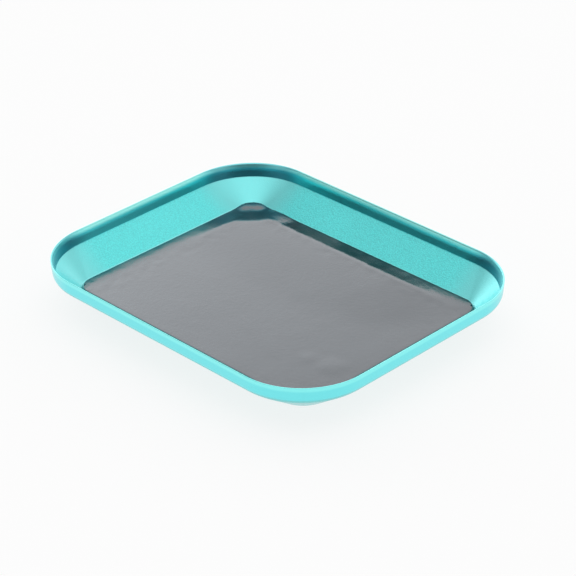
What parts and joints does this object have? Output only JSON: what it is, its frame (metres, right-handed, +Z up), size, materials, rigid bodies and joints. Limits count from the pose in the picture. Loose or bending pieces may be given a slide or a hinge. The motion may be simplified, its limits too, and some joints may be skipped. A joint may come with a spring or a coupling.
{
  "type": "magnetic parts tray",
  "caption": "Shallow rounded rectangular tray of teal anodised sheet with upright rim and sloping walls; a lift-out glossy dark mat covers a magnet that holds small steel parts.",
  "frame": {"origin": "middle of the tray's flat underside", "axes": "+X along the long side, +Y along the short side, +Z up out of the tray"},
  "size_m": [0.106, 0.086, 0.014],
  "materials": {
    "anodised_sheet": "bead-blasted and anodised teal, smoother and glossier on the rim",
    "tape": "pale double-sided foam tape",
    "bonded_ferrite": "matt black-brown rubber-bonded ferrite",
    "mat_film": "dark grey glossy film on a black sheet, slightly wavy"
  },
  "bodies": {
    "tray": {"tray_pan": "anodised_sheet", "magnet_tape": "tape", "magnet": "bonded_ferrite"},
    "mat": {"cover_mat": "mat_film"}
  },
  "joints": [
    {"name": "mat_lift", "type": "slide", "parent": "tray", "child": "mat", "axis": [0, 0, 1], "range_m": [0, 0.03]}
  ]
}
